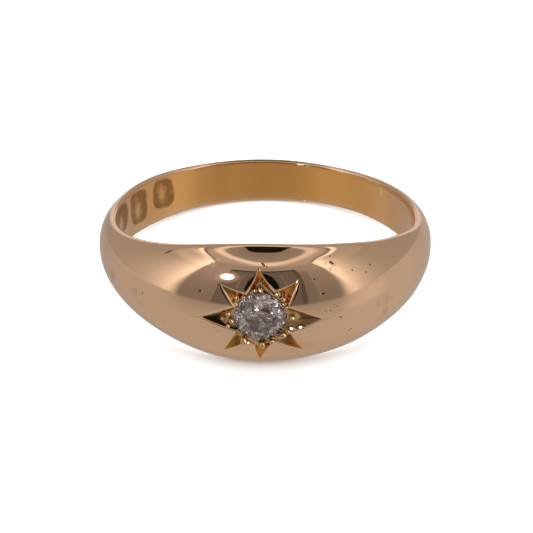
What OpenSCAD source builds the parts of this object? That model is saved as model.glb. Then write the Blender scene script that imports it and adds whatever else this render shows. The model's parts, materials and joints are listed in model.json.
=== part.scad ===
// Diamond band: a tapering gold band with a domed head and one old-cut diamond in a star cut.
// Millimetres. The band lies on its side as it rests on a table, the head towards -Y.
// The origin is on the table, under the middle of the band.

/* [Finger] */
// Inside diameter, where the finger goes
inside_d = 18; // [16:0.1:21]

/* [Band] */
// Width of the head, along the finger
head_w = 7.26; // [7:0.02:8]
// Width at the back of the hand side
back_w = 2.9; // [2:0.1:4]
// Thickness of the gold at the crown of the head
head_t = 2.05; // [2:0.05:2.6]
// Thickness at the back
back_t = 1; // [0.8:0.05:1.2]
// How fast the head runs out into the shank
taper = 4.4; // [3.5:0.1:5.5]
// Thickness of the band at its two edges
edge_t = 0.22; // [0.2:0.01:0.3]
// Bevel that eases the inner corner of each edge
edge_ease = 0.1; // [0.05:0.01:0.15]
// Squareness of the cross section towards its edges
edge_power = 2.14; // [2:0.02:2.4]
// Fullness of the cross section over its middle
dome_power = 1.7; // [1.5:0.05:2]

/* [Star cut] */
// Tips of the rays, from the one on the right side: angle round the stone, reach from its middle
tips = [
    [-3.5, 3.3], [45.3, 3.03], [90.8, 2.78], [139.5, 2.95],
    [182.6, 3.24], [227.6, 3.01], [269, 2.9], [317.2, 3.16]
];
// Notches after each ray: angle round the stone, reach from its middle
notches = [
    [24.8, 1.71], [63.6, 1.82], [118.2, 1.68], [153.4, 1.63],
    [209.6, 1.56], [248.8, 1.62], [297.2, 1.62], [332.2, 1.83]
];
// Where each groove is deepest, as a share of the way from the notch before it to the notch after it
valley_shares = [0.3, 0.33, 0.5, 0.67, 0.7, 0.66, 0.5, 0.34];
// Depth of the grooves, as a share of a right-angled cut
groove_share = 0.86; // [0.6:0.02:1]
// How far the setting sits below the middle of the head
star_lower = 0.12; // [0:0.02:0.2]
// Depth of the uncut shelf round the stone under the crown of the head
shelf_depth = 0.41; // [0.38:0.01:0.45]
// How far the shelf reaches out from the stone's middle
shelf_reach = 1.62; // [1.56:0.01:1.7]

/* [Diamond] */
// Diameter over the girdle
stone_d = 2.9; // [2.7:0.05:2.9]
// Width of the table, as a share of the diameter
table_share = 0.5; // [0.45:0.01:0.56]
// Width of the culet, as a share of the diameter
culet_share = 0.08; // [0.04:0.01:0.12]
// How far out the side corners of the crown's kites lie, as a share of the diameter
kite_share = 0.76; // [0.7:0.01:0.82]
// How far out the pavilion's long facets stop, as a share of the diameter
lower_share = 0.46; // [0.35:0.01:0.6]
// Thickness of the girdle
girdle_t = 0.06; // [0.04:0.01:0.08]
// Slope of the main crown facets
crown_slope = 36; // [34:1:38]
// Slope of the main pavilion facets
pavilion_slope = 40; // [38:1:41]
// Depth of the girdle under the crown of the head
stone_sink = 0.36; // [0.3:0.02:0.4]
// Gap between the diamond and its seat
stone_gap = 0.03; // [0.02:0.01:0.05]

/* [Grains] */
// Depth of the tops of the grains under the crown of the head
grain_top = 0.1; // [0.05:0.01:0.15]

/* [Hidden] */

gold = [0.80, 0.60, 0.43];
ice = [0.84, 0.83, 0.88];

sections = 96;
outer_steps = 9;
core = 0.4;
past = 1;
round_fn = 96;
small_fn = 32;

inside_r = inside_d / 2;
crown_r = inside_r + head_t;
stone_r = stone_d / 2;

// The angle runs round the band from the middle of the head, where the swell is 1, to the back, where it is 0
function swell(a) = pow((1 + cos(a)) / 2, taper);
function half_width(a) = (back_w + (head_w - back_w) * swell(a)) / 2;
function thickness(a) = back_t + (head_t - back_t) * swell(a);

// Radius of the outside at angle a and height z along the finger
function outer_r(a, z) = inside_r + edge_t
    + (thickness(a) - edge_t) * pow(max(0, 1 - pow(abs(z) / half_width(a), edge_power)), 1 / dome_power);

// One side of the cross section: its height at the step angle s from -90 to 90
function side_z(a, s) = half_width(a) * sign(s) * pow(abs(sin(s)), 2 / edge_power);
function outer_point(a, s) = abs(s) == 90
    ? [inside_r + edge_t, sign(s) * half_width(a)]
    : [outer_r(a, side_z(a, s)), side_z(a, s)];

// Cross section at angle a: a core inside the bore, the eased edge, the domed outside, the other edge
function section(a) = let (h = half_width(a)) concat(
    [[inside_r - core, edge_ease + core - h], [inside_r + edge_ease, -h]],
    [for (i = [-outer_steps:outer_steps]) outer_point(a, 90 * i / outer_steps)],
    [[inside_r + edge_ease, h], [inside_r - core, h - edge_ease - core]]
);
function at_angle(p, a) = [p[0] * sin(a), -p[0] * cos(a), p[1]];

per_section = len(section(0));
skin = [for (i = [0:sections - 1]) let (a = 360 * i / sections) for (p = section(a)) at_angle(p, a)];
skin_faces = [
    for (i = [0:sections - 1], j = [0:per_section - 1])
        let (
            a = i * per_section + j,
            b = i * per_section + (j + 1) % per_section,
            c = ((i + 1) % sections) * per_section + (j + 1) % per_section,
            d = ((i + 1) % sections) * per_section + j
        )
        for (face = [[a, b, c], [a, c, d]]) face
];

// The band rests on the wide rim of the head and the narrow rim at the back, so its axis leans back
lean = atan((head_w - back_w) / 2 / (2 * inside_r + edge_t + edge_ease));
leaned = [for (p = skin) [p[1] * cos(lean) + p[2] * sin(lean), p[2] * cos(lean) - p[1] * sin(lean)]];
reach_y = [for (p = leaned) p[0]];
floor_z = min([for (p = leaned) p[1]]);
middle_y = (min(reach_y) + max(reach_y)) / 2;

// Places in the setting: x round the band, y along the finger, z out of the head from its crown
function dome_angle(x, z, r, rounds) = rounds == 0
    ? asin(x / r)
    : dome_angle(x, z, outer_r(asin(x / r), z), rounds - 1);
function on_dome(x, y) =
    let (z = y - star_lower, a = dome_angle(x, z, crown_r, 4))
    [x, y, outer_r(a, z) * cos(a) - crown_r];
function round_stone(reach, a) = on_dome(reach * cos(a), reach * sin(a));

// The star cutter: each ray is two flat facets that meet in a valley, and the facets of neighbours meet in a ridge
rays = len(tips);
tip_points = [for (t = tips) round_stone(t[1], t[0])];
notch_points = [for (n = notches) round_stone(n[1], n[0])];
function notch_before(i) = notch_points[(i + rays - 1) % rays];
function groove_depth(width, share) = groove_share * width * sqrt(share * (1 - share));
valley_points = [for (i = [0:rays - 1]) let (
    before = notch_before(i),
    after = notch_points[i],
    share = valley_shares[i],
    place = before + (after - before) * share,
    width = norm([after[0] - before[0], after[1] - before[1]])
) [place[0], place[1], (before[2] + after[2]) / 2 - groove_depth(width, share)]];

// The ridge runs along both facets at a notch; it points outwards
function facet_normal(i, notch) = cross(tip_points[i] - valley_points[i], notch - valley_points[i]);
function outwards(v, p) = v / norm(v) * sign(v[0] * p[0] + v[1] * p[1]);
ridge_ways = [for (i = [0:rays - 1]) let (notch = notch_points[i]) outwards(
    cross(facet_normal(i, notch), facet_normal((i + 1) % rays, notch)), notch
)];

// The cutter's corners: its foot and its top, then for each ray a valley, a tip, a notch and a ridge
star_foot = [0, 0, -1.2];
valley_in = 0.2;
tip_past = 0.4;
ridge_in = 0.35;
ridge_past = 0.8;
star_points = concat([star_foot, [0, 0, past]], [for (i = [0:rays - 1]) let (
    valley_way = tip_points[i] - valley_points[i]
) for (p = [
    valley_points[i] - valley_in * valley_way,
    tip_points[i] + tip_past * valley_way,
    notch_points[i] + ridge_past * ridge_ways[i],
    notch_points[i] - ridge_in * ridge_ways[i]
]) p]);
star_faces = [for (i = [0:rays - 1]) let (
    valley = 2 + 4 * i, tip = valley + 1, notch = valley + 2, ridge = valley + 3,
    next_valley = 2 + 4 * ((i + 1) % rays), next_tip = next_valley + 1
) for (face = [
    [valley, tip, notch], [valley, notch, ridge], [ridge, notch, next_tip], [ridge, next_tip, next_valley],
    [0, valley, ridge], [0, ridge, next_valley], [1, notch, tip], [1, next_tip, notch]
]) face];

// The grains: angle round the stone, distance from its middle, radius
grains = [
    [89, 1.68, 0.17], [99, 1.7, 0.11], [57, 1.73, 0.18], [43, 1.7, 0.16], [34, 1.58, 0.13], [25, 1.56, 0.11],
    [137.5, 1.72, 0.18], [126, 1.58, 0.11], [173.5, 1.79, 0.15], [187.5, 1.62, 0.16], [196.5, 1.87, 0.15],
    [181, 2.05, 0.11], [238, 1.74, 0.2], [273.7, 1.71, 0.19], [293.5, 1.6, 0.15], [318.6, 1.65, 0.2],
    [332, 1.72, 0.13], [0.5, 1.74, 0.16], [340, 1.87, 0.15]
];

// Corners of the stone in rings of 8 or 16, from the table down to the culet
function corner_ring(r, z, count, first) = [
    for (i = [0:count - 1]) let (a = first + i * 360 / count) [r * cos(a), r * sin(a), z]
];
function crown_h(u) = girdle_t / 2 + (stone_r - u) * tan(crown_slope);
function pavilion_h(u) = -girdle_t / 2 - (stone_r - u) * tan(pavilion_slope);
sides = 8;
half_turn = 180 / sides;
table_r = table_share * stone_r;
kite_r = kite_share * stone_r;
lower_r = lower_share * stone_r;
culet_r = culet_share * stone_r;
stone_middle = -stone_sink - girdle_t / 2;
stone_points = concat(
    corner_ring(table_r, crown_h(table_r), sides, 0),
    corner_ring(kite_r, crown_h(kite_r * cos(half_turn)), sides, half_turn),
    corner_ring(stone_r, girdle_t / 2, 2 * sides, 0),
    corner_ring(stone_r, -girdle_t / 2, 2 * sides, 0),
    corner_ring(lower_r, pavilion_h(lower_r * cos(half_turn)), sides, half_turn),
    corner_ring(culet_r, pavilion_h(culet_r * cos(half_turn)), sides, half_turn)
);

// Places of the corners in that list
function tab(k) = (k + sides) % sides;
function kite(k) = sides + (k + sides) % sides;
function high(j) = 2 * sides + j % (2 * sides);
function low(j) = 4 * sides + j % (2 * sides);
function pav(k) = 6 * sides + (k + sides) % sides;
function cul(k) = 7 * sides + (k + sides) % sides;
stone_faces = concat(
    [[for (k = [0:sides - 1]) tab(-k)], [for (k = [0:sides - 1]) cul(k)]],
    [for (k = [0:sides - 1]) for (face = [
        [tab(k), kite(k), high(2 * k), kite(k - 1)],
        [tab(k), tab(k + 1), kite(k)],
        [high(2 * k), kite(k), high(2 * k + 1)],
        [high(2 * k + 1), kite(k), high(2 * k + 2)],
        [low(2 * k), low(2 * k + 1), pav(k)],
        [low(2 * k + 1), low(2 * k + 2), pav(k)],
        [cul(k - 1), pav(k - 1), low(2 * k), pav(k), cul(k)]
    ]) face],
    [for (j = [0:2 * sides - 1]) [low(j), high(j), high(j + 1), low(j + 1)]]
);

// Moves from the setting's place into the band's own, with the finger along Z
module in_head() {
    translate([0, -crown_r, -star_lower]) rotate([90, 0, 0]) children();
}

// Lays the band on the table
module at_rest() {
    translate([0, -middle_y, -floor_z]) rotate([-lean, 0, 0]) children();
}

module grain(a, reach, r) {
    rotate([0, 0, a]) translate([reach, 0, -grain_top - r]) {
        sphere(r = r, $fn = small_fn);
        translate([0, 0, -past]) cylinder(h = past, r = r, $fn = small_fn);
    }
}

module star() {
    difference() {
        polyhedron(points = star_points, faces = star_faces, convexity = 6);
        translate([0, 0, -shelf_depth - 2 * past]) cylinder(h = 2 * past, r = shelf_reach, $fn = round_fn);
    }
}

module seat() {
    seat_r = stone_r + stone_gap;
    low = stone_middle - girdle_t / 2 - stone_gap;
    drop = seat_r * tan(pavilion_slope);
    translate([0, 0, low]) cylinder(h = past - low, r = seat_r, $fn = round_fn);
    translate([0, 0, low - drop]) cylinder(h = drop, r1 = 0, r2 = seat_r, $fn = round_fn);
}

module band() color(gold) at_rest() {
    difference() {
        union() {
            difference() {
                polyhedron(points = skin, faces = skin_faces, convexity = 6);
                in_head() star();
            }
            in_head() for (g = grains) grain(g[0], g[1], g[2]);
        }
        in_head() seat();
        translate([0, 0, -head_w]) cylinder(h = 2 * head_w, r = inside_r, $fn = round_fn);
    }
}

module diamond() color(ice) at_rest() in_head() translate([0, 0, stone_middle])
    polyhedron(points = stone_points, faces = stone_faces, convexity = 2);

band();
diamond();
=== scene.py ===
# Diamond band: an antique gold band with a domed head and one old-cut diamond in a star cut.
# Every piece is worked out in the band's own lines: the turn round the finger from the middle of
# the head, and the height along the finger. Values are metres and radians, unless a comment
# gives other units.
import functools
import itertools
import json
import math

import bpy
import numpy as np
from mathutils import Matrix


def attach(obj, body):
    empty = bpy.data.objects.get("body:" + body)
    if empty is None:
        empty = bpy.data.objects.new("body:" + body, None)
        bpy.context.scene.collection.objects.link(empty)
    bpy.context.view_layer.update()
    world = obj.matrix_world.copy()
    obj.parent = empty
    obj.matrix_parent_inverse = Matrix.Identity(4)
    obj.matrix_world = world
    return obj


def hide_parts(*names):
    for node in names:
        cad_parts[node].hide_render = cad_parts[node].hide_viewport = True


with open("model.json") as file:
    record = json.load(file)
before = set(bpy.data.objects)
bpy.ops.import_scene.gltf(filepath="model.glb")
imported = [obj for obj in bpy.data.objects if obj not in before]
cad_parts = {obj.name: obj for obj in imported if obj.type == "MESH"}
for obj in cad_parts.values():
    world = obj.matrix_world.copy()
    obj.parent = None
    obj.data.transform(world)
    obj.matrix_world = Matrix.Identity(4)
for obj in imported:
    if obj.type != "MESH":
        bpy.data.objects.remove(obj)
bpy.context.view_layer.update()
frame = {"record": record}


# Camera
# It looks down at the head from in front, as the photograph does, and is aimed a little under the
# middle of the band, so that the band lies a little above the middle of the picture.
mm = 0.001
degree = math.pi / 180

bore = next(mount for mount in frame["record"]["mounts"] if mount["name"] == "finger_bore")
inside_r = bore["dims"]["r_mm"] * mm
middle = np.array(bore["pos_m"], float)
axis_z = np.array(bore["axis"], float)
axis_z /= np.linalg.norm(axis_z)
axis_x = np.array([1.0, 0.0, 0.0])
axis_y = np.cross(axis_z, axis_x)
band_axes = np.stack([axis_x, axis_y, axis_z])

camera_far = 100 * mm
camera_turn = 1.49 * degree
camera_lift = 24.02 * degree
camera_width = 18.49 * degree
camera_near_clip = 5 * mm
aim_below = 1.84 * mm
aim_beside = 0.07 * mm


def in_frame(points):
    """Points in the band's own axes, moved to where it lies: the middle plus each axis times its number."""
    return middle + points @ band_axes


def from_band(turn, radius, height):
    """A point of the band: the radius times the turn's sine to the right and times its cosine to the front,
    and the height along the finger."""
    return np.stack([radius * np.sin(turn), -radius * np.cos(turn), height + 0 * turn], axis=-1)


def in_scene(name, data):
    """An object that shows some data, its origin at the frame's."""
    made = bpy.data.objects.new(name, data)
    bpy.context.scene.collection.objects.link(made)
    return made


to_camera = from_band(np.array(camera_turn), math.cos(camera_lift), math.sin(camera_lift)) @ band_axes
right = np.cross(axis_z, to_camera)
right /= np.linalg.norm(right)
up = np.cross(to_camera, right)
eye = middle + to_camera * camera_far
from_aim = to_camera * camera_far + up * aim_below - right * aim_beside
from_aim /= np.linalg.norm(from_aim)
side = np.cross(axis_z, from_aim)
side /= np.linalg.norm(side)
camera_axes = Matrix(np.stack([side, np.cross(from_aim, side), from_aim], axis=1))
camera_data = bpy.data.cameras.new("camera")
camera_data.angle = camera_width
camera_data.clip_start = camera_near_clip
camera = in_scene("camera", camera_data)
camera.matrix_world = Matrix.Translation(eye) @ camera_axes.to_4x4()
bpy.context.scene.camera = camera
bpy.context.scene.view_settings.view_transform = "Standard"


# Floor and light
# A plain white floor, and the soft light of a small photo studio: a pale tent with a wide dim
# opening in front where the camera stands, two tall bright strips beside it and a lit frame above.
class Shade:
    """One socket of a shader. Signs between it and numbers, or another socket, add Math nodes."""

    def __init__(self, tree, socket=None):
        self.tree = tree
        self.socket = socket

    def node(self, kind, settings=None, inputs=None, out=0):
        """Adds a node: its settings first, then the values or links of its sockets."""
        made = self.tree.nodes.new(kind)
        for name, value in (settings or {}).items():
            setattr(made, name, value)
        for key, value in (inputs or {}).items():
            if isinstance(value, Shade):
                self.tree.links.new(value.socket, made.inputs[key])
            else:
                made.inputs[key].default_value = value
        return Shade(self.tree, made.outputs[out] if made.outputs else None)

    def math(self, operation, *values):
        """Adds a Math node."""
        return self.node("ShaderNodeMath", {"operation": operation}, dict(enumerate(values)))

    def __add__(self, other):
        return self.math("ADD", self, other)

    def __sub__(self, other):
        return self.math("SUBTRACT", self, other)

    def __rsub__(self, other):
        return self.math("SUBTRACT", other, self)

    def __mul__(self, other):
        return self.math("MULTIPLY", self, other)

    def __truediv__(self, other):
        return self.math("DIVIDE", self, other)

    def __pow__(self, other):
        return self.math("POWER", self, other)

    def __abs__(self):
        return self.math("ABSOLUTE", self)

    __radd__ = __add__
    __rmul__ = __mul__

    def most(self, other):
        """The larger of this number and another."""
        return self.math("MAXIMUM", self, other)

    def least(self, other):
        """The smaller of this number and another."""
        return self.math("MINIMUM", self, other)

    def rise(self, low, high):
        """0 under low and 1 over high, smooth between."""
        return self.node(
            "ShaderNodeMapRange", {"interpolation_type": "SMOOTHSTEP"}, {0: self, 1: low, 2: high}
        )

    def inside(self, low, high, soft):
        """1 between low and high and 0 outside, over edges that are soft wide."""
        half = soft / 2
        return self.rise(low - half, low + half) * (1 - self.rise(high - half, high + half))

    def blend(self, other, share):
        """This number where share is 0, the other where it is 1."""
        return self.node("ShaderNodeMix", {"data_type": "FLOAT"}, {0: share, 2: self, 3: other})

    def between(self, first, other):
        """The first colour where this number is 0, the other where it is 1."""
        return self.node("ShaderNodeMix", {"data_type": "RGBA"}, {0: self, 6: first, 7: other}, out=2)

    def tint(self, other, share):
        """This colour where share is 0, the other where it is 1."""
        return share.between(self, other)

    def vector(self, operation, other):
        """This vector with another one added, taken away or multiplied in."""
        return self.node("ShaderNodeVectorMath", {"operation": operation}, {0: self, 1: other})

    def dot(self, way):
        """How far this vector goes along a fixed direction."""
        return self.node("ShaderNodeVectorMath", {"operation": "DOT_PRODUCT"}, {0: self, 1: way}, out=1)

    def length(self):
        """How long this vector is."""
        return self.node("ShaderNodeVectorMath", {"operation": "LENGTH"}, {0: self}, out=1)

    def noise(self, size, detail, out=0):
        """Smooth random numbers from 0 to 1, in lumps about a size wide, at the places in this vector."""
        inputs = {"Vector": self, "Scale": 1 / size, "Detail": detail}
        return self.node("ShaderNodeTexNoise", None, inputs, out)

    def to(self, socket):
        """Links this to a socket of another node."""
        self.tree.links.new(self.socket, socket)


room_light = 2
wall_light = 0.36
strip_light = 0.86
brightest_wall = 1.25
opening_light = 0.23
ceiling_light = 0.46
gap_light = 0.22
line_light = 1.5
oval_light = 0.9
slot_light = 0.01
doorway_light = 0.18
far_room_light = 0.145
beam_light = 0.01
arch_light = 0.006
arch_rim_light = 0.25
lamp_light = 6
lamp_glow = 0.5
low_wall_light = 0.7
floor_light = 0.475
horizon_light = 0.62

world = bpy.data.worlds.new("studio")
world.use_nodes = True
world.node_tree.nodes.clear()
world.cycles.sampling_method = "NONE"
bpy.context.scene.world = world
light = Shade(world.node_tree)

# Places in the studio are degrees: turned to the right from the front, and lifted from level
direction = light.node("ShaderNodeTexCoord")
turned = light.math("ARCTAN2", direction.dot((1, 0, 0)), direction.dot((0, -1, 0))) * (1 / degree)
lifted = light.math("ARCSINE", direction.dot((0, 0, 1))) * (1 / degree)
aside = abs(turned)


def oval_share(x, y, half_width, half_height):
    """The squares of x and y, each as a share of its half size, added up: 1 on the oval's rim."""
    x = x / half_width
    y = y / half_height
    return x * x + y * y


# Walls, brightest beside the opening, whose two edges lean together a little towards the top
opening_middle = -2.1
opening_half = 59.6
strip_start = 62
strip_fade = 16
beside = abs(turned - opening_middle - 0.02 * lifted)
strips = light.math("EXPONENT", (strip_start - beside) / (strip_fade - 3.5 * turned.rise(0, 60)))
walls = (wall_light + strip_light * strips).least(brightest_wall)
opening = opening_light + 0.0025 * lifted.most(0)
edge_at = beside - (opening_half - 0.09 * lifted + 0.1 * (25 - lifted).most(0))
softness = 1.2 + 0.14 * (32 - lifted).most(0)
studio = opening.blend(walls, (edge_at / softness).rise(-1, 1))

# Ceiling: a bright line round it, a lit oval frame, and a dark slot behind the middle.
# Places on it are degrees from straight up, across to the right and ahead to the front.
ceiling_r = 34.5
from_top = 90 - lifted
across = from_top * light.math("SINE", turned * degree)
ahead = from_top * light.math("COSINE", turned * degree)
above = lifted.rise(44, 47)
on_wall = edge_at.rise(-2, 1)
on_left = 1 - turned.rise(-60, -30)
on_right = turned.rise(30, 60)
shifted = across + 0.1
astern = (1.22 + 0.28 * across.rise(-15, 15)) * (0 - ahead).most(0) ** 0.8
from_line = light.math("SQRT", shifted * shifted + astern * astern) - ceiling_r
on_ceiling = (lifted + 0.04 * turned).rise(45, 53) * (1 - from_line.rise(-0.7, 0.7))
studio = studio.blend(ceiling_light, on_ceiling)
studio = studio.blend(gap_light, from_line.inside(-1.8, -0.1, 1) * on_wall * above)
studio = studio + 0.15 * from_line.inside(1.5, 17.5, 6) * on_left * lifted.rise(36, 42)
studio = studio + 0.07 * from_line.inside(2.5, 17.5, 6) * on_right * lifted.rise(32, 40)
studio = studio + 0.2 * from_line.inside(1.5, 4.5, 2.4) * on_left * above
bright_line = from_line.rise(-0.5, 0.7) * (1 - from_line.rise(0.5, 3.1))
studio = studio.blend(line_light - 0.45 * ahead.rise(-5, 8), bright_line * on_wall * above)

oval = light.math("SQRT", oval_share(across - 0.4 - 0.06 * ahead, ahead + 2, 25, 38))
studio = studio.blend(gap_light + 0.1 * oval, 1 - oval.rise(0.84, 0.96))
studio = studio.blend(oval_light - 0.1 * across.rise(4, 18), oval.inside(0.91, 1.1, 0.14))
slot = (abs(across - 1) / 10.3) ** 3 + (abs(ahead + 36) / 38) ** 6
studio = studio.blend(slot_light, (1 - slot.rise(0.85, 1.1)) * ahead.rise(-38, -33))

# In the opening stand a doorway, the dim far side of the room under a beam, the camera's dark arch, and
# a small lamp in its own haze
room_floor = -9
room_top = 38
doorway = turned.inside(30, 39, 2) * lifted.inside(room_floor, 36, 4)
left_side = turned + 0.13 * (room_top - lifted)
in_room = (left_side + 30.5).rise(0, 1) * (1 - (turned - 31).rise(0, 1))
deeper = 1 - (left_side + 33.5).rise(-1, 1) * (1 - (turned - 28).rise(-1, 1))
studio = studio.blend(doorway_light, 0.7 * doorway)
studio = studio.blend(far_room_light - 0.05 * deeper, in_room * lifted.inside(room_floor, room_top, 1))
studio = studio.blend(beam_light, in_room * lifted.inside(room_top, 39.9, 0.7))
arch = oval_share(turned, lifted - 8, 13.5, 28)
studio = studio.blend(arch_light, (1 - arch.rise(0.94, 1.06)) * lifted.rise(7.5, 8.5))
studio = studio.blend(arch_rim_light, 0.7 * arch.inside(1.9, 2.15, 0.2) * lifted.inside(12, 32, 3))
lamp = oval_share(turned + 29.3, lifted - 27.3, 5.2, 4.2)
haze = 1 - oval_share(turned + 40, lifted - 30, 24, 18).rise(0, 1)
studio = studio + 0.05 * haze
studio = studio.blend(lamp_glow, 0.7 * (1 - lamp.rise(0.5, 6)))
studio = studio.blend(lamp_light, 1 - lamp.rise(0.6, 1.3))

# Behind the band the low wall is lit on both sides of the middle
studio = studio.blend(low_wall_light, aside.inside(158, 179, 6) * lifted.inside(-9, 14, 6))

# Table, with a pale line where it meets the walls
dimmer = lifted.rise(-30, -8) * (1 - aside.rise(55, 75))
table = floor_light - 0.13 * dimmer + 0.04 * turned.rise(20, 80) - 0.06 * aside.rise(110, 140)
table = table + 0.1 * turned.inside(60, 90, 12) * lifted.inside(-24, -9, 6)
table = table - 0.045 * turned.rise(10, 45) * (1 - lifted.rise(-62, -50))
from_horizon = lifted + 10.5 - 7 * turned.rise(55, 115)
studio = studio.blend(table, 1 - from_horizon.rise(-1, 1.5))
studio = studio.blend(horizon_light, 0.4 * from_horizon.inside(-1, 1, 1) * aside.inside(70, 130, 20))

# What shines through the stone has more contrast, and a little light from the table and the room
sparkle = (2.2 * studio ** 2).least(3) + 0.6 * (1 - lifted.rise(-28, -6))
sparkle = sparkle + 0.22 * (1 - aside.rise(25, 40)) * lifted.inside(room_floor, room_top, 4)

# Only mirrors and the stone see the studio; the floor and the camera see plain white
reflected = light.node("ShaderNodeLightPath", out=3)
through = light.node("ShaderNodeLightPath", out=6)
mirrored = reflected.most(through)
studio = room_light + (studio.blend(sparkle, through) - room_light) * mirrored
white = (1, 1, 1, 1)
lilac = (1, 0.95, 1.12, 1)
light_colour = (haze * mirrored).between(white, lilac)
background = light.node("ShaderNodeBackground", inputs={"Color": light_colour, "Strength": studio})
light.node("ShaderNodeOutputWorld", inputs={"Surface": background})


def material(name, inputs):
    """A new material, with some of its shader's values."""
    made = bpy.data.materials.new(name)
    made.use_nodes = True
    for key, value in inputs.items():
        made.node_tree.nodes["Principled BSDF"].inputs[key].default_value = value
    return made


floor_half = 400 * mm
floor_colour = (0.94, 0.94, 0.94, 1)
floor_corners = [(-1, -1), (1, -1), (1, 1), (-1, 1)]
floor_mesh = bpy.data.meshes.new("floor")
floor_mesh.from_pydata([(x * floor_half, y * floor_half, 0) for x, y in floor_corners], [], [(0, 1, 2, 3)])
floor = in_scene("floor", floor_mesh)
floor_paint = material("floor_white", {"Base Color": floor_colour, "Roughness": 1, "Specular IOR Level": 0})
floor_mesh.materials.append(floor_paint)
floor.visible_glossy = False
floor.visible_transmission = False


# Band
# One casting in rose-toned gold, wide and domed at the head and narrow at the back. A graver cut
# the eight-rayed star into the head, and the stone's seat was drilled where the rays meet.
head_width = 7.26 * mm
back_width = 2.9 * mm
head_thick = 2.05 * mm
back_thick = 1 * mm
taper = 4.4
edge = 0.22 * mm
edge_ease = 0.17 * mm
edge_power = 2.14
dome_power = 1.7
crown_r = inside_r + head_thick
star_lower = 0.12 * mm

# Where the hand-filed band is wider or narrower: turn and spread in degrees, extra in millimetres
uneven = ((35, 14, 0.12), (60, 17, 0.23), (-33, 15, -0.05), (150, 22, -0.1), (236, 20, 0.14))

# The eight rays, from the one that points to the right in the picture: angle and reach of each tip and
# of the notch after it, in degrees and millimetres. Then how far across each ray's groove, from the
# notch before it, the valley runs, and how deep the groove is as a share of a right-angled cut.
tips = np.array([
    (-3.5, 3.44), (45.6, 3.02), (92.2, 2.8), (139.3, 2.96),
    (182.6, 3.36), (227.6, 3.09), (269, 2.9), (317.2, 3.28),
])
notches = np.array([
    (24.8, 1.71), (63.6, 1.82), (118.2, 1.68), (153.4, 1.63),
    (209.6, 1.56), (248.8, 1.62), (297.2, 1.62), (332.2, 1.83),
])
valley_shares = np.array([0.3, 0.33, 0.5, 0.67, 0.7, 0.66, 0.5, 0.34])
cut_shares = np.array([0.78, 0.86, 0.86, 0.86, 0.78, 0.86, 0.86, 0.86])
ridge_slope = 0.7

# The sixteen facets, from the upper one of the ray on the right: how deep the worn shoulder is and how
# far the edge is rounded in millimetres, the share of painted shade in the groove, and how far the outline
# bends inwards as a share of its distance from the stone's middle
facet_edges = np.array([
    (0.008, 0.03, 0.35, -0.03), (0, 0.14, 0, -0.04), (0.02, 0.04, 0, 0.02), (0.055, 0.04, 0.1, 0.03),
    (0.055, 0.04, 0.1, 0.04), (0.02, 0.04, 0, 0.02), (0, 0.14, 0, -0.04), (0.008, 0.06, 0.2, -0.03),
    (0.008, 0.06, 1, -0.03), (0.008, 0.03, 0.1, 0), (0.008, 0.03, 0.1, 0), (0.02, 0.05, 0, 0.02),
    (0.02, 0.05, 0, 0.02), (0.008, 0.03, 0.2, 0), (0.008, 0.03, 0.1, 0), (0.008, 0.04, 0.65, -0.03),
])
least_wear = 0.02 * mm
shoulder_slope = 0.6
shelf_wear = 0.08 * mm
seat_r = 1.48 * mm
seat_ledge = 0.45 * mm
seat_slope = 40 * degree
seat_wall = 0.04 * mm
shelf_depth = 0.41 * mm
shelf_reach = 1.58 * mm
shelf_side = 0.42 * mm
shelf_slope = 0.9

# The head's mesh is a patch of columns round the stone, forty to each ray, that pass an oval collar and
# end at a border as wide as the band
sector = 40
patch_columns = 8 * sector
patch_turn = 28 * degree
collar_x = 3.75 * mm
collar_y = 3.15 * mm
facet_steps = 26
wear_steps = 8
collar_steps = 10
border_steps = 14


def swell(turn):
    """Half of one plus the turn's cosine, to the power of the taper: 1 at the head and 0 at the back."""
    return ((1 + np.cos(turn)) / 2) ** taper


def half_width(turn):
    """Half of the width, which swells from the back to the head, plus a bell curve for each uneven place."""
    half = (back_width + (head_width - back_width) * swell(turn)) / 2
    for middle_turn, spread, extra in uneven:
        away = (turn / degree - middle_turn + 180) % 360 - 180
        half = half + extra * mm * np.exp(-(away / spread) ** 2)
    return half


def outer_radius(turn, height):
    """The edge's thickness, plus the rest of the thickness times a rounded arch over the half width."""
    thick = back_thick + (head_thick - back_thick) * swell(turn)
    share = np.minimum(np.abs(height) / half_width(turn), 1)
    return inside_r + edge + (thick - edge) * (1 - share**edge_power) ** (1 / dome_power)


def outside(turn, slant):
    """Turn, radius and height on the domed outside. The height goes with a power of the slant's sine."""
    height = half_width(turn) * np.sign(slant) * np.abs(np.sin(slant)) ** (2 / edge_power)
    return turn, outer_radius(turn, height), height


def dome(x, y):
    """Turn of the dome, and its height out of the crown, at x and y from the stone: its radius times the
    turn's sine is x, and y goes along the finger."""
    turn = np.arcsin(x / crown_r)
    for _ in range(6):
        turn = np.arcsin(x / outer_radius(turn, y - star_lower))
    return turn, outer_radius(turn, y - star_lower) * np.cos(turn) - crown_r


def crossing(gap, low, high):
    """Where gap changes sign between low and high, in each column, by halving."""
    for _ in range(40):
        half = (low + high) / 2
        below = gap(half) < 0
        low = np.where(below, half, low)
        high = np.where(below, high, half)
    return (low + high) / 2


def worn_min(a, b, wear):
    """The lower of two heights, with the corner between them rounded down over the wear."""
    overlap = np.maximum(wear - np.abs(a - b), 0) / wear
    return np.minimum(a, b) - overlap * overlap * wear / 4


def around(table):
    """Points in the plane of the setting from rows of angle in degrees and reach in millimetres."""
    angle = table[:, 0] * degree
    return mm * table[:, 1:] * np.stack([np.cos(angle), np.sin(angle)], axis=-1)


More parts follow.
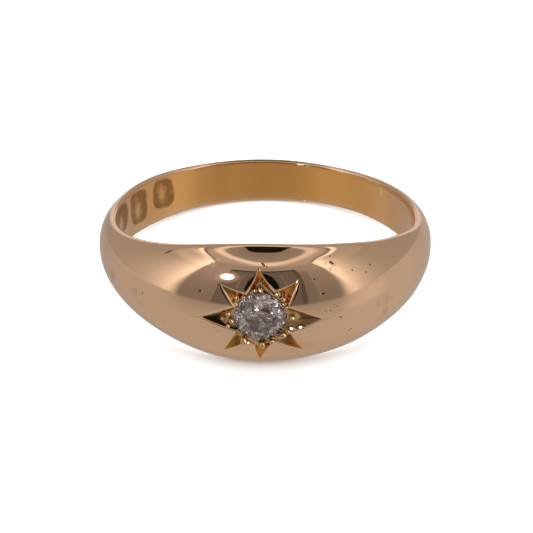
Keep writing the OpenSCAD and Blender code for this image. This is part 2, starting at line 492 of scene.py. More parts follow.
# A right-angled cut is as deep between the notches as the root of the product of its two widths. Each
# valley falls from its tip through that depth and on to the seat.
tip_at = around(tips)
after = around(notches)
before = np.roll(after, 1, axis=0)
valley_at = before + (after - before) * valley_shares[:, None]
across_cut = np.linalg.norm(after - before, axis=1)
tip_height = dome(*tip_at.T)[1]
notch_height = dome(*after.T)[1]
valley_height = (notch_height + np.roll(notch_height, 1)) / 2
valley_height -= cut_shares * across_cut * np.sqrt(valley_shares * (1 - valley_shares))
tip_far = np.linalg.norm(tip_at, axis=1)
valley_far = np.linalg.norm(valley_at, axis=1)
valley_height += (valley_height - tip_height) * (valley_far - seat_r) / (tip_far - valley_far)
ridge_height = notch_height - ridge_slope * (np.linalg.norm(after, axis=1) - seat_r)

# Columns of the head: straight lines from the seat to the star's outline, with one along every valley
# and every ridge
corner_at = np.stack([valley_at, after], axis=1).reshape(-1, 2)
inner_angle = np.unwrap(np.arctan2(corner_at[:, 1], corner_at[:, 0]))
outline = np.stack([tip_at, after], axis=1).reshape(-1, 2)
inner_height = np.stack([valley_height, ridge_height], axis=1).ravel()
corner = np.arange(patch_columns) // (sector // 2)
part = (np.arange(patch_columns) % (sector // 2)) / (sector // 2)
following = (corner + 1) % 16
next_angle = inner_angle[following] + 2 * np.pi * (following == 0)
inner_angle = inner_angle[corner] * (1 - part) + next_angle * part
outline = outline[corner] * (1 - part)[:, None] + outline[following] * part[:, None]
inner_height = inner_height[corner] * (1 - part) + inner_height[following] * part
shoulder, wear, groove_shade_share, pinch = facet_edges[corner].T
outline *= 1 - (pinch * 4 * part * (1 - part))[:, None]
start = seat_r * np.stack([np.cos(inner_angle), np.sin(inner_angle)], axis=-1)
lengths = np.linalg.norm(outline - start, axis=1)
step = (outline - start) / lengths[:, None]
rise = (dome(*outline.T)[1] - inner_height) / lengths
notch_share = 1 - abs(1 - (corner % 2) - part)
shoulder = mm * shoulder * (0.25 + 0.75 * notch_share)
wear = least_wear + (mm * wear - least_wear) * (1 - (1 - notch_share) ** 5)

# Both are evened out over nine columns
shoulder, wear = (sum(np.roll(value, shift) for shift in range(-4, 5)) / 9 for value in (shoulder, wear))


def column_place(far_out):
    """Where each column is at a distance out from the seat's circle, inwards where that is under 0."""
    return (start + step * far_out[:, None]).T


def facet_height(far_out):
    """Height of the star's facets along each column."""
    return inner_height + rise * far_out


def seat_height(reach):
    """The drilled seat: a cone up to the ledge, then a steep wall."""
    cone = -seat_ledge - (seat_r - seat_wall - reach) * math.tan(seat_slope)
    wall = -seat_ledge + (reach - seat_r + seat_wall) * seat_ledge / seat_wall
    return np.where(reach < seat_r - seat_wall, cone, wall)


def shelf_height(far_out):
    """The uncut shelf that grains were raised from: level near the stone, then falling into the grooves."""
    x, y = column_place(far_out)
    reach = np.hypot(x, y)
    end = shelf_reach + shelf_side * (x / reach) ** 8
    return -shelf_depth - shelf_slope * np.maximum(reach - end, 0)


def metal_height(far_out):
    """Height of the cut metal: the star's facets or the shelf, whichever is higher, but no higher than the
    dome or the worn shoulder between them."""
    over = dome(*column_place(far_out))[1]
    worn_edge = over + shoulder_slope * (facet_height(far_out) - over) - shoulder
    cut = -worn_min(-facet_height(far_out), -shelf_height(far_out), shelf_wear)
    return worn_min(worn_min(cut, worn_edge, 0.3 * wear), over, wear)


def above_dome(far_out):
    """Height of the star's facets over the dome."""
    return facet_height(far_out) - dome(*column_place(far_out))[1]


def seat_gap(far_out):
    """Height of the seat's wall over the cut metal: 0 on the seat's edge."""
    return seat_height(np.hypot(*column_place(far_out))) - metal_height(far_out)


def steps(count):
    """Even shares from 0 to 1."""
    return np.linspace(0, 1, count + 1)


angles = np.arange(patch_columns) * 2 * np.pi / patch_columns
collar = np.stack([np.cos(angles), np.sin(angles)])
collar /= np.hypot(collar[0] / collar_x, collar[1] / collar_y)

# Along each column: the seat's edge, and where the star's worn edge begins and ends
search_in = 0.3 * mm
search_out = 0.4 * mm
furthest = lengths + search_out
seat_edge = crossing(seat_gap, 0 * lengths - search_in, 0 * lengths)
worn_from = crossing(lambda out: above_dome(out) + wear, seat_edge, furthest)
worn_to = crossing(lambda out: shoulder_slope * above_dome(out) - shoulder - wear, seat_edge, furthest)

# Rows of the head from the bottom of the seat outwards
face_rows = [seat_edge + (worn_from - seat_edge) * share for share in steps(facet_steps)[:-1]]
worn_rows = [worn_from + (worn_to - worn_from) * share for share in steps(wear_steps)]


def head_row(place, height):
    """A row of the head as points, from places round the stone and heights out of the crown."""
    return np.stack([place[0], -(crown_r + height), place[1] - star_lower], axis=-1)


rim = column_place(seat_edge)
seat_shares = (0.35, 0.7, 0.9, 0.965, 0.985)
rows = [head_row(rim * share, seat_height(np.hypot(*rim) * share)) for share in seat_shares]
seat_rows = len(rows)
rows += [head_row(column_place(out), metal_height(out)) for out in face_rows + worn_rows]
edge_place = column_place(worn_to)
for share in steps(collar_steps)[1:]:
    place = edge_place + (collar - edge_place) * share
    rows.append(head_row(place, dome(*place)[1]))

# From the collar the rows run out to the border: its right, upper, left and lower sides, two sectors
# each, counted from the lower right corner
collar_turn = dome(*collar)[0]
collar_height = collar[1] - star_lower
collar_share = np.abs(collar_height) / half_width(collar_turn)
collar_slant = np.sign(collar_height) * np.arcsin(collar_share ** (edge_power / 2))
border_place = (np.arange(patch_columns) + sector) % patch_columns
quarter = border_place // (2 * sector)
along = (border_place % (2 * sector)) / sector - 1
border_turn = patch_turn * np.choose(quarter, [1 + 0 * along, -along, -1 + 0 * along, along])
border_slant = np.pi / 2 * np.choose(quarter, [along, 1 + 0 * along, -along, -1 + 0 * along])
for share in steps(border_steps)[1:]:
    turn = collar_turn + (border_turn - collar_turn) * share
    slant = collar_slant + (border_slant - collar_slant) * share
    rows.append(from_band(*outside(turn, slant)))

seat_bottom = head_row(np.zeros(2), seat_height(np.array(0.0)))
patch_points = np.concatenate([[seat_bottom], *rows])
patch = 1 + np.arange(len(rows) * patch_columns).reshape(len(rows), patch_columns)

# Shank: columns round the rest of the band, closer together where the inside is stamped
stamped_from = 220 * degree
stamped_to = 272 * degree
shank_turns = np.concatenate([
    np.linspace(patch_turn, stamped_from, 138), np.linspace(stamped_from, stamped_to, 105)[1:],
    np.linspace(stamped_to, 2 * np.pi - patch_turn, 43)[1:],
])
shank_slants = np.linspace(-np.pi / 2, np.pi / 2, 2 * sector + 1)
grid_turn, grid_slant = np.meshgrid(shank_turns[1:-1], shank_slants, indexing="ij")
shank_points = from_band(*outside(grid_turn, grid_slant))
shank = len(patch_points) + np.arange(grid_turn.size).reshape(grid_turn.shape)
columns = np.arange(-sector, sector + 1)
right_border = patch[-1, columns % patch_columns]
left_border = patch[-1, (4 * sector - columns) % patch_columns]
shank = np.concatenate([right_border[None], shank, left_border[None]])

# Both rims and the bore, row by row from the top rim down to the bottom one
top_border = np.arange(3 * sector - 1, sector, -1)
bottom_border = np.arange(5 * sector + 1, 7 * sector)
top_loop = np.concatenate([shank[:, -1], patch[-1, top_border]])
bottom_loop = np.concatenate([shank[:, 0], patch[-1, bottom_border]])
loop_turns = np.concatenate([shank_turns, border_turn[top_border] + 2 * np.pi])
ease = np.linspace(0, np.pi / 2, 6)
rim_radii = inside_r + edge_ease * (1 - np.sin(ease))
rim_drops = edge_ease * (1 - np.cos(ease))
bore_shares = np.linspace(1, -1, 33)[1:-1]
bore_radii = np.concatenate([rim_radii, inside_r + 0 * bore_shares, rim_radii[::-1]])
loop_half = half_width(loop_turns)
bore_heights = np.concatenate([
    loop_half - rim_drops[:, None],
    bore_shares[:, None] * (loop_half - edge_ease),
    rim_drops[::-1, None] - loop_half,
])
bore_turns = loop_turns + 0 * bore_heights

# Three punched frames, worn blank: turn in degrees and height along the finger in millimetres, half
# sizes in the same units, and how much each leans. A low mound is left in the middle of each floor.
stamps = ((228.5, 0.3, 6.1, 1.08, 0.12), (244.2, 0.2, 6.8, 1.18, 0.09), (261.5, 0.42, 8.4, 1.05, 0.05))
stamp_depth = 0.045 * mm
corner_power = 3.4


def soft_step(value, low, high):
    """0 under low and 1 over high, smooth between: three of the share's squares less two of its cubes."""
    share = np.clip((value - low) / (high - low), 0, 1)
    return share * share * (3 - 2 * share)


sunk = 0 * bore_turns
stamp_darkened = 0 * bore_turns
for number, (stamp_turn, stamp_height, turn_half, height_half, lean) in enumerate(stamps):
    side_on = (bore_turns / degree - stamp_turn) / turn_half
    up_on = (bore_heights / mm - stamp_height - lean * side_on) / height_half
    from_centre = (np.abs(side_on) ** corner_power + np.abs(up_on) ** corner_power) ** (1 / corner_power)
    from_centre += 0.03 * np.sin(3 * up_on + 2 * number)
    floor_share = 1 - soft_step(from_centre, 0.8, 1.04)
    mound = np.exp(-((side_on - 0.1) ** 2 + (0.7 * up_on + 0.1 * number) ** 2) / 0.2)
    sunk += floor_share * (1 - 0.8 * mound)
    stamp_darkened += floor_share * (1 - 0.75 * mound)
bore_points = from_band(bore_turns, bore_radii[:, None] + stamp_depth * sunk, bore_heights)
inner = len(patch_points) + grid_turn.size + np.arange(bore_heights.size)
inner = np.concatenate([top_loop[None], inner.reshape(bore_heights.shape), bottom_loop[None]])


def quads(grid, closed):
    """Four-sided faces between the rows and columns of a grid of point numbers. A closed grid joins its
    last column to its first."""
    if closed:
        grid = np.concatenate([grid, grid[:, :1]], axis=1)
    return np.stack([grid[:-1, :-1], grid[:-1, 1:], grid[1:, 1:], grid[1:, :-1]], axis=-1).reshape(-1, 4)


def fan(tip, ring):
    """Three-sided faces between one point and a closed ring of others, by their numbers."""
    return np.stack([0 * ring + tip, ring, np.roll(ring, -1)], axis=-1).tolist()


def mesh_from(name, points, faces):
    """A mesh in the frame, from points in the band's own lines."""
    mesh = bpy.data.meshes.new(name)
    mesh.from_pydata(in_frame(points).tolist(), [], faces)
    mesh.validate()
    mesh.update()
    return mesh


band_points = np.concatenate([patch_points, shank_points.reshape(-1, 3), bore_points.reshape(-1, 3)])
band_quads = [quads(patch, True)[:, ::-1], quads(shank, False)[:, ::-1], quads(inner, True)]
band_faces = fan(0, patch[0]) + np.concatenate(band_quads).tolist()

# Grains raised from the shelf with the graver, round on top and flared at the foot, and three burrs torn
# up in the grooves: angle, reach, size and depth under the crown of each in degrees and millimetres, the
# turn that the flat rubbed on its top faces, and how far out that flat lies as a share of the grain
grains = np.array([
    (89, 1.68, 0.15, 0.1, -14, 0.94), (99, 1.7, 0.1, 0.1, -14, 0.96), (57, 1.73, 0.16, 0.1, -14, 0.96),
    (43, 1.7, 0.14, 0.1, 34, 0.9), (34, 1.58, 0.12, 0.1, -14, 0.96), (25, 1.56, 0.1, 0.1, 34, 0.9),
    (137.5, 1.72, 0.16, 0.1, -14, 0.95), (126, 1.58, 0.1, 0.1, 34, 0.9), (173.5, 1.79, 0.13, 0.1, 34, 0.86),
    (187.5, 1.62, 0.14, 0.1, 34, 0.86), (196.5, 1.87, 0.13, 0.1, 34, 0.9), (181, 2.05, 0.1, 0.1, -14, 0.97),
    (238, 1.74, 0.2, 0.1, 34, 0.9), (247, 1.66, 0.11, 0.1, -14, 0.86), (273.7, 1.71, 0.17, 0.1, 34, 0.9),
    (293.5, 1.6, 0.13, 0.1, 34, 0.9), (318.6, 1.65, 0.19, 0.1, 34, 0.9), (332, 1.72, 0.14, 0.1, 34, 0.9),
    (0.5, 1.74, 0.14, 0.1, 34, 0.84), (340, 1.89, 0.14, 0.15, -14, 0.87),
    (344.8, 2.37, 0.105, 0.26, -14, 0.8), (46, 2.84, 0.05, 0.43, -14, 0.8),
])
grain_rings = 14
grain_sides = 24
grain_scale = 1.12
grain_tall = 0.9
grain_flare = 1.25
grain_root = 3
flat_lift = 31 * degree
grain_depth = 0.1 * mm
burr_stretch = 6 / mm
burr_aslant = 20 * degree

grain_at = around(grains[:, :2])
grain_angle, _, size, depth, facing, flat_share = grains.T[..., None, None]
size = size * grain_scale * mm
depth = depth * mm
bend = np.linspace(0, np.pi / 2, grain_rings)
profile_r = np.append(np.sin(bend), grain_flare)[:, None]
profile_h = np.append(grain_tall * np.cos(bend), -grain_root)[:, None]
round_it = np.arange(grain_sides) * 2 * np.pi / grain_sides

# Worn a little out of round, and a little uneven on top
worn_side = 1 + 0.12 * np.sin(2 * round_it + 3 * grain_angle) + 0.06 * np.sin(3 * round_it + 5 * grain_angle)
from_axis = profile_r * worn_side
lump = np.stack([
    from_axis * np.cos(round_it), profile_h + 0 * from_axis, from_axis * np.sin(round_it)
], axis=-1)
lump[..., 1] += 0.06 * np.sin(3.1 * lump[..., 0] + grain_angle) * np.cos(2.7 * lump[..., 2])

# Burrs are longer than wide, the deeper in the groove the longer, and lie a little aslant
torn_turn = grain_angle * degree + burr_aslant
torn_way = np.stack([np.cos(torn_turn), 0 * torn_turn, np.sin(torn_turn)], axis=-1)
stretch = burr_stretch * (depth - grain_depth) * (lump * torn_way).sum(axis=-1)
lump += stretch[..., None] * torn_way

# The flats face a turn and a lift in the frame, turned here into the grain's ways: right, out and up
flat_way = from_band(facing * degree, math.cos(flat_lift), math.sin(flat_lift)) @ band_axes.T * (1, -1, 1)
along_flat = (lump * flat_way).sum(axis=-1)
over_flat = np.maximum(along_flat - along_flat.max(axis=(1, 2), keepdims=True) * flat_share, 0)
lump -= over_flat[..., None] * flat_way
lump *= size[..., None]
grain_points = np.stack([
    grain_at[:, 0, None, None] + lump[..., 0],
    -(crown_r - depth - grain_tall * size + lump[..., 1]),
    grain_at[:, 1, None, None] + lump[..., 2] - star_lower,
], axis=-1)
grain_tops = grain_points[:, 0].mean(axis=1)
grain_points = grain_points[:, 1:]
grain_start = len(band_points)
grain_count = grain_rings * grain_sides
for points, top in zip(grain_points, grain_tops):
    base = len(band_points)
    grid = base + 1 + np.arange(grain_count).reshape(grain_rings, grain_sides)
    band_points = np.concatenate([band_points, [top], points.reshape(-1, 3)])
    band_faces += fan(base, grid[0]) + quads(grid, True)[:, ::-1].tolist() + [grid[-1, ::-1].tolist()]

band_mesh = mesh_from("band_gold", band_points, band_faces)
band_mesh.shade_smooth()
band = in_scene("band_gold", band_mesh)

# The star's valleys and the ridges between its rays stay crisp
crisp_lines = np.zeros(len(band_points), int)
line_columns = np.arange(0, patch_columns, sector // 2)
for row, out in enumerate(face_rows + worn_rows[:2], start=seat_rows):
    clear = facet_height(out) > shelf_height(out) + shelf_wear
    crisp = line_columns[clear[line_columns]]
    crisp_lines[patch[row, crisp]] = crisp + 1
ends = np.empty(2 * len(band_mesh.edges), np.int32)
band_mesh.edges.foreach_get("vertices", ends)
one_end, other_end = crisp_lines[ends.reshape(-1, 2)].T
crisp_edges = band_mesh.attributes.new("sharp_edge", "BOOLEAN", "EDGE")
crisp_edges.data.foreach_set("value", (one_end > 0) & (one_end == other_end))

# For the material: where the stamps are painted darker, and which points are the wall of the hole
stamp_dark = np.zeros(len(band_points))
stamp_dark[inner[1:-1].ravel()] = stamp_darkened.ravel()
band_mesh.attributes.new("stamp_dark", "FLOAT", "POINT").data.foreach_set("value", stamp_dark)
rim_rows = len(ease)
bore_part = np.zeros(len(band_points))
bore_part[inner[rim_rows:-rim_rows].ravel()] = 1
band_mesh.attributes.new("bore", "FLOAT", "POINT").data.foreach_set("value", bore_part)

# Colour of the metal on each point, with painted shade in some places, and how much rougher it is than the
# polished outside
polished = np.array([0.955, 0.602, 0.365, 0])
bright_cut = np.array([0.9, 0.57, 0.26, 0.08])
uncut = np.array([0.74, 0.49, 0.24, 0.3])
painted_groove_shade = np.array([0.05, 0.022, 0.01, 0.6])
shaded_grain_gold = np.array([0.7, 0.46, 0.22, 0.06])
painted_seat_shade = np.array([0.34, 0.24, 0.18, 0.4])
painted_lip_shade = np.array([0.3, 0.19, 0.11, 0.1])
tint = np.tile(polished, (len(band_points), 1))
# The stone's seat is painted dark, as shade under the stone
tint[patch[:seat_rows]] = painted_seat_shade
# The grooves' facets are darkened by their share of painted shade
facet_tint = bright_cut + (painted_groove_shade - bright_cut) * groove_shade_share[:, None]
for row, out in enumerate(face_rows, start=seat_rows):
    shelf_share = soft_step(shelf_height(out) - facet_height(out), -0.12 * mm, 0.05 * mm)[:, None]
    tint[patch[row]] = facet_tint + (uncut - facet_tint) * shelf_share
# The grains are painted darker than the polished metal, as shade between them; their rubbed flats keep the
# polished colour
tint[grain_start:] = shaded_grain_gold
for number, flat in enumerate(over_flat):
    own = grain_start + 1 + number * (1 + grain_count) + np.arange(grain_count)
    tint[own] += (polished - shaded_grain_gold) * soft_step(flat[1:].reshape(-1, 1), 0, 0.02)

# A dark line just inside the upper rim, on the right, is painted shade
lip_shade_share = 0.75 * soft_step(np.sin(loop_turns), 0.1, 0.6)[:, None]
tint[inner[rim_rows + 1:rim_rows + 3]] = polished + (painted_lip_shade - polished) * lip_shade_share
band_mesh.attributes.new("tint", "FLOAT_COLOR", "POINT").data.foreach_set("color", tint.ravel())

# Rose gold, yellower where light bounces about inside the finger hole
amber_colour = (1, 0.49, 0.135, 1)
mark_dark_colour = (0.18, 0.085, 0.04, 1)
stain_and_shade_colour = (0.38, 0.18, 0.05, 1)
painted_glint_colour = (1, 0.86, 0.56, 1)
scrape_glint_colour = (1, 0.68, 0.25, 1)
gold = material("rose_gold", {"Metallic": 1})
gold_shader = gold.node_tree.nodes["Principled BSDF"]
paint = Shade(gold.node_tree)
whole = paint.node("ShaderNodeTexCoord", out=3)
from_middle = whole.vector("SUBTRACT", tuple(middle))
beside_head = from_middle.dot(axis_x)
to_back = from_middle.dot(axis_y)
along_finger = from_middle.dot(axis_z)


def on_mesh(name, out):
    """What the mesh carries on its points under a name: out is 0 for a colour, 2 or 3 for a number."""
    return paint.node("ShaderNodeAttribute", {"attribute_name": name}, out=out)


metal_colour = on_mesh("tint", 0)
rougher = on_mesh("tint", 3)
in_stamp = on_mesh("stamp_dark", 2)
in_bore = on_mesh("bore", 2)
outward = 1 - in_bore
on_head = (0 - to_back).rise(6 * mm, 9 * mm) * outward

# Marks of wear on the outside: turn in degrees and share of the half width, length and width in
# millimetres and slant in degrees, then how deep each is in thousandths of a millimetre
pits = (
    (-32.3, 0.918, 0.9, 0.16, 28, 18), (-17.8, 0.372, 0.32, 0.26, 0, 16), (16, 0.577, 0.17, 0.15, 0, 10),
    (18.4, 0.346, 0.36, 0.26, 15, 18), (22.5, 0.79, 0.44, 0.19, -42, 24), (22.6, 0.88, 0.13, 0.1, 0, 6),
    (29.2, 0.647, 0.24, 0.09, -15, 10), (36.3, 0.681, 0.22, 0.15, 0, 8), (34.1, 0.574, 0.16, 0.12, 0, 9),
    (24.3, -0.142, 0.3, 0.13, -50, 14), (27.9, -0.47, 0.2, 0.1, 40, 12), (28.6, -0.45, 0.13, 0.1, 0, 10),
    (27.2, -0.53, 0.13, 0.1, 0, 8), (-15.2, 0.797, 0.12, 0.1, 0, 6), (0.9, 0.795, 0.38, 0.15, -48, 14),
    (1.9, 0.765, 0.2, 0.09, -60, 12), (-39.5, 0.02, 0.16, 0.12, 0, 8),
)
scratches = (
    (20.4, -0.097, 1.1, 0.06, 8, 5), (-19.7, -0.087, 0.8, 0.05, 4, 5), (-29.4, 0.74, 0.5, 0.06, 80, 2),
    (38.5, -0.15, 1.0, 0.07, 85, 3), (-31, -0.44, 0.5, 0.08, 15, 4), (-12.5, -0.29, 0.4, 0.09, -35, 7),
    (-13.6, -0.24, 0.2, 0.08, -20, 6),
)
micron = 0.001 * mm
mark_reach = 0.3 * mm


def on_outside(turn, share):
    """A point of the outside in the frame, from a turn in degrees and a share of the half width."""
    turn = np.array(turn * degree)
    height = share * half_width(turn)
    return in_frame(from_band(turn, outer_radius(turn, height), height))


def oval_mark(where, at, length_way, out_way, length, width, core):
    """1 over the core of an oval on a surface, falling to 0 at its rim. Its length lies along length_way,
    and out_way points out of the surface."""
    ways = np.stack([length_way, np.cross(out_way, length_way), out_way], axis=1)
    share = paint.node("ShaderNodeMapping", {"vector_type": "TEXTURE"}, {
        0: where, 1: tuple(at), 2: Matrix(ways).to_euler(), 3: (length / 2 * mm, width / 2 * mm, mark_reach)
    })
    return 1 - share.length().rise(core, 1)


def outside_mark(where, turn, share, length, width, slant):
    """An oval mark on the outside, its length turned up from the way round the band by the slant."""
    at = on_outside(turn, share)
    round_way = on_outside(turn + 0.01, share) - at
    round_way /= np.linalg.norm(round_way)
    out_way = np.cross(round_way, on_outside(turn, share + 0.001) - at)
    out_way /= np.linalg.norm(out_way)
    up_way = np.cross(out_way, round_way)
    length_way = round_way * math.cos(slant * degree) + up_way * math.sin(slant * degree)
    return oval_mark(where, at, length_way, out_way, length, width, 0.35)


def bore_mark(turn, out, height, length, tall):
    """An upright oval mark on the wall of the hole: turn in degrees, place and sizes in millimetres."""
    turn = np.array(turn * degree)
    at = in_frame(from_band(turn, inside_r + out * mm, height * mm))
    out_way = from_band(turn, 1, 0) @ band_axes
    return oval_mark(whole, at, np.cross(axis_z, out_way), out_way, length, tall, 0.4)


def marked(table):
    """For a table of marks on the outside: 1 in the middle of each, and how deep they are. The place is
    shaken a little, so that their rims are ragged."""
    marks = [outside_mark(shaken, *oval) for *oval, microns in table]
    depths = [mark * (microns * micron) for mark, (*oval, microns) in zip(marks, table)]
    return functools.reduce(Shade.most, marks), functools.reduce(Shade.__add__, depths)


shiver = whole.noise(0.14 * mm, 2, out=1).vector("SUBTRACT", (0.5, 0.5, 0.5))
shaken = whole.vector("ADD", shiver.vector("MULTIPLY", (0.12 * mm, 0.12 * mm, 0.12 * mm)))
pitted, pit_depth = marked(pits)
scored, score_depth = marked(scratches)

# A nick through the rim at the back, dug in and painted pale as a highlight, and a short upright glint
# painted in the hole
nick_and_glint = bore_mark(163.9, 0.13, 1.34, 0.5, 0.44)
nick_depth = 0.09 * mm
scrape_glint = bore_mark(126.4, 0, 0.85, 0.34, 0.9)

# To the right of the back the wall of the hole leans a little, which shows it the lighter table
lean_slope = 0.13
leaning = in_bore * beside_head.inside(2.8 * mm, 6.2 * mm, 2.4 * mm) * to_back.rise(0, 3 * mm)

# Fine pinholes in a patch beside the star and along the bright edge above it
worn_patch = outside_mark(whole, 20.8, 0.03, 1.7, 1.2, 10).most(outside_mark(whole, 23, 0.72, 1.8, 0.9, -45))
pinholes = whole.noise(0.13 * mm, 1).rise(0.62, 0.7) * worn_patch

# Smears of old polish and tarnish on both sides
smear_places = outside_mark(whole, -57, 0.05, 3.6, 1.6, 80)
smear_places = smear_places.most(outside_mark(whole, -42, -0.1, 2.6, 1.9, 70))
smear_places = smear_places.most(outside_mark(whole, 41, -0.3, 2.2, 2.8, 0))
smeared = 0.3 * whole.noise(1.1 * mm, 3).rise(0.42, 0.7) * smear_places


def fine_lines(round_lumps, along_lumps, detail):
    """Smooth random numbers, by how many lumps a millimetre holds round the band and along the finger."""
    ways = (beside_head, round_lumps), (along_finger, along_lumps), (to_back, round_lumps)
    place = {key: way * (lumps / mm) for key, (way, lumps) in enumerate(ways)}
    return paint.node("ShaderNodeCombineXYZ", None, place).noise(1, detail)


# The metal itself: barely wavy from hand polishing, with hairlines that run round the band, and with
# the graver's fine tooling where it isn't polished
waves = whole.noise(1.9 * mm, 1)
hairs = fine_lines(0.3, 8, 2)
tooled = whole.noise(0.1 * mm, 1) * rougher.rise(0, 0.08)
relief = tooled * (0.6 * micron) + waves * (6 * micron) + hairs * (0.2 * micron) * (1 + 2 * in_bore)
dug = pit_depth + score_depth + pinholes * (6 * micron) + nick_and_glint * nick_depth
relief = relief - dug + leaning * along_finger * lean_slope
bumps = paint.node("ShaderNodeBump", None, {"Strength": 1, "Distance": 1, "Height": relief})
bumps.to(gold_shader.inputs["Normal"])

# In the hole: stamps painted darker, amber towards the back, upright brushing, and painted shade on the left
# side
darkened_stamp = (in_stamp * (0.3 + 1.3 * whole.noise(0.3 * mm, 2))).rise(0.05, 0.9)
amber = in_bore * (0.25 + 0.75 * (to_back / inside_r).rise(0.1, 1))
low_in_bore = in_bore * (1 - along_finger.rise(-1.4 * mm, -0.7 * mm)) * to_back.rise(0, 6 * mm)
brushed = in_bore * fine_lines(0.42, 0.06, 3).rise(0.35, 0.75)
# The left side of the hole is painted darker, as shade
shaded_left = in_bore * (0 - beside_head).rise(4.2 * mm, 6 * mm) * to_back.rise(0, 3 * mm)
colour = metal_colour.tint(amber_colour, amber * (1 - 0.5 * low_in_bore))
colour = colour.tint(stain_and_shade_colour, 0.16 * brushed)
colour = colour.tint(stain_and_shade_colour, 0.12 * shaded_left)
colour = colour.tint(stain_and_shade_colour, 0.9 * darkened_stamp)
colour = colour.tint(stain_and_shade_colour, smeared * outward)
# The pits, scratches and pinholes are painted darker
colour = colour.tint(mark_dark_colour, pitted.most((0.3 * scored).most(0.7 * pinholes)) * outward)
# Painted highlights on the nick and in the hole
colour = colour.tint(painted_glint_colour, 0.9 * nick_and_glint)
colour = colour.tint(scrape_glint_colour, 0.8 * scrape_glint)
colour.to(gold_shader.inputs["Base Color"])
satin = 0.055 + 0.045 * (1 - on_head) + 0.1 * in_bore + rougher
satin = satin + 0.15 * pitted + 0.1 * smeared + 0.2 * darkened_stamp
satin.to(gold_shader.inputs["Roughness"])
band_mesh.materials.append(gold)
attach(band, "root")
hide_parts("band")


# Diamond
# One old-cut diamond with a small table and a broad culet, cut by hand, so that no two facets match.
# It is bounded by flat planes, and the grains hold it in its seat. Its girdle is left rough.
stone_r = 1.45 * mm
girdle = 0.06 * mm
stone_sink = 0.39 * mm
table_r = 0.5 * stone_r
culet_r = 0.08 * stone_r
kite_r = 0.76 * stone_r
lower_r = 0.46 * stone_r
crown_slope = 36 * degree
pavilion_slope = 40 * degree
girdle_sides = 40
hand_tilt = 0.6 * degree
hand_shift = 0.008 * mm
hand = np.random.default_rng(11)


def facet_ring(count, first, slope, inner_reach, inner_height, shake):
    """Planes round the stone that pass a point at a reach and a height: their normals and distances.
    Each leans over by the slope, and differs from its neighbours by a small hand error."""
    turn = (first + np.arange(count) / count) * 2 * np.pi + hand.normal(0, hand_tilt * shake, count)
    lean = slope + hand.normal(0, hand_tilt * shake, count)
    normals = np.stack([np.sin(lean) * np.cos(turn), np.sin(lean) * np.sin(turn), np.cos(lean)], axis=-1)
    distances = inner_reach * np.sin(lean) + inner_height * np.cos(lean)
    return normals, distances + hand.normal(0, hand_shift * shake, count)


def slope_between(reach_a, height_a, reach_b, height_b):
    """Slope of the line from one point of the outline to another further out."""
    return math.atan((height_a - height_b) / (reach_b - reach_a))


# Reach of a side's middle as a share of its corners', on eight and on sixteen sides
of_eight = math.cos(np.pi / 8)
of_sixteen = math.cos(np.pi / 16)
table_height = girdle / 2 + (stone_r - table_r) * math.tan(crown_slope)
kite_height = girdle / 2 + (stone_r - kite_r * of_eight) * math.tan(crown_slope)
lower_height = girdle / 2 + (stone_r - lower_r * of_eight) * math.tan(pavilion_slope)
culet_height = girdle / 2 + (stone_r - culet_r * of_eight) * math.tan(pavilion_slope)
star_slope = slope_between(table_r * of_eight, table_height, kite_r, kite_height)
upper_slope = slope_between(kite_r * of_sixteen, kite_height, stone_r * of_sixteen, girdle / 2)
lower_slope = slope_between(lower_r * of_sixteen, lower_height, stone_r * of_sixteen, girdle / 2)

# From the top: table, kites, star facets, upper facets, girdle, lower facets, mains and culet
facets = [
    facet_ring(1, 0, 0, 0, table_height, 0.3),
    facet_ring(8, 0, crown_slope, stone_r, girdle / 2, 1),
    facet_ring(8, 1 / 16, star_slope, kite_r, kite_height, 1),
    facet_ring(16, 1 / 32, upper_slope, stone_r * of_sixteen, girdle / 2, 1),
    facet_ring(girdle_sides, 0, np.pi / 2, stone_r, 0, 0.15),
    facet_ring(16, 1 / 32, np.pi - lower_slope, stone_r * of_sixteen, -girdle / 2, 1),
    facet_ring(8, 0, np.pi - pavilion_slope, stone_r, -girdle / 2, 1),
    facet_ring(1, 0, np.pi, 0, -culet_height, 0.3)
]
normals = np.concatenate([facet[0] for facet in facets])
distances = np.concatenate([facet[1] for facet in facets])

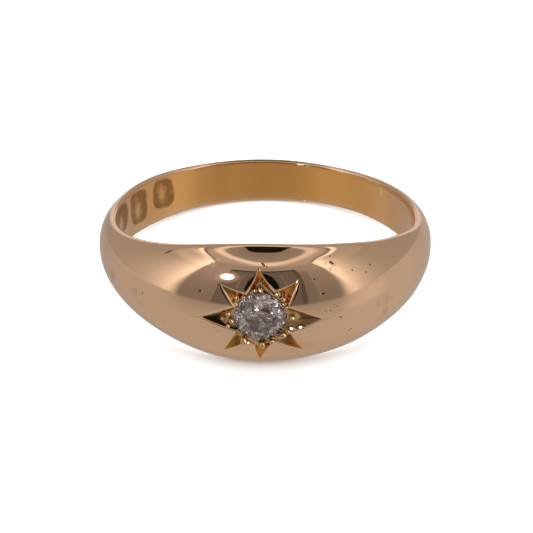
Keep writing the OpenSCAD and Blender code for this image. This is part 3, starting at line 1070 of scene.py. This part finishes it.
# Corners of the stone: where three planes meet inside all the others
parallel = 1e-5
touching = 1e-10
members = np.array(list(itertools.combinations(range(len(normals)), 3)))
members = members[np.abs(np.linalg.det(normals[members])) > parallel]
corners = np.linalg.solve(normals[members], distances[members][..., None])[..., 0]
kept = np.all(corners @ normals.T <= distances + touching, axis=1)
corners = corners[kept]
members = members[kept]
stone_faces = []
for plane, normal in enumerate(normals):
    own = np.flatnonzero(np.any(members == plane, axis=1))
    if len(own) > 2:
        spread = corners[own] - corners[own].mean(axis=0)
        across = spread[0] / np.linalg.norm(spread[0])
        sideways = np.cross(normal, across)
        stone_faces.append(own[np.argsort(np.arctan2(spread @ sideways, spread @ across))].tolist())

stone_middle = np.array([0, -(crown_r - stone_sink), -star_lower])
stone_points = stone_middle + np.stack([corners[:, 0], -corners[:, 2], corners[:, 1]], axis=-1)
stone_mesh = mesh_from("diamond_cut", stone_points, stone_faces)
stone = in_scene("diamond_cut", stone_mesh)

clear_colour = (1, 0.86, 0.81, 1)
cloud_and_shade_colour = (0.16, 0.09, 0.075, 1)
shine_colour = (1, 0.84, 0.8, 1)
ice = material("old_cut_diamond", {"IOR": 2.42, "Transmission Weight": 0.96, "Specular Tint": shine_colour})
ice_shader = ice.node_tree.nodes["Principled BSDF"]
ice_paint = Shade(ice.node_tree)
at_stone = ice_paint.node("ShaderNodeTexCoord", out=3)
in_stone = at_stone.vector("SUBTRACT", tuple(in_frame(stone_middle)))
on_girdle = 1 - abs(in_stone.dot(axis_y)).rise(girdle / 2, girdle / 2 + 5 * micron)
(0.35 * on_girdle).to(ice_shader.inputs["Roughness"])

# Its faces are barely wavy, as cut by hand
ripple = at_stone.noise(0.4 * mm, 1) * (20 * micron)
ripples = ice_paint.node("ShaderNodeBump", None, {"Strength": 1, "Distance": 1, "Height": ripple})
ripples.to(ice_shader.inputs["Normal"])

# Many small clouds and feathers at random, a dark ring round the culet that is a painted reflection, and
# painted shade towards the upper edge
ring_right = 0.04 * mm
ring_lower = 0.12 * mm
ring_from = 0.26 * mm
ring_to = 0.62 * mm
culet_x = in_stone.dot(axis_x) - ring_right
culet_y = in_stone.dot(axis_z) + ring_lower
from_culet = ice_paint.math("SQRT", culet_x * culet_x + culet_y * culet_y)
clear = at_stone.noise(0.5 * mm, 4).rise(0.45, 0.55)
clear = clear * (1 - 0.8 * from_culet.inside(ring_from, ring_to, 0.16 * mm))
clear = clear * (1 - 0.45 * culet_y.rise(0.3 * mm, 0.9 * mm))
ice_colour = clear.between(cloud_and_shade_colour, clear_colour)
ice_colour.to(ice_shader.inputs["Base Color"])
stone_mesh.materials.append(ice)
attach(stone, "root")
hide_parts("diamond")
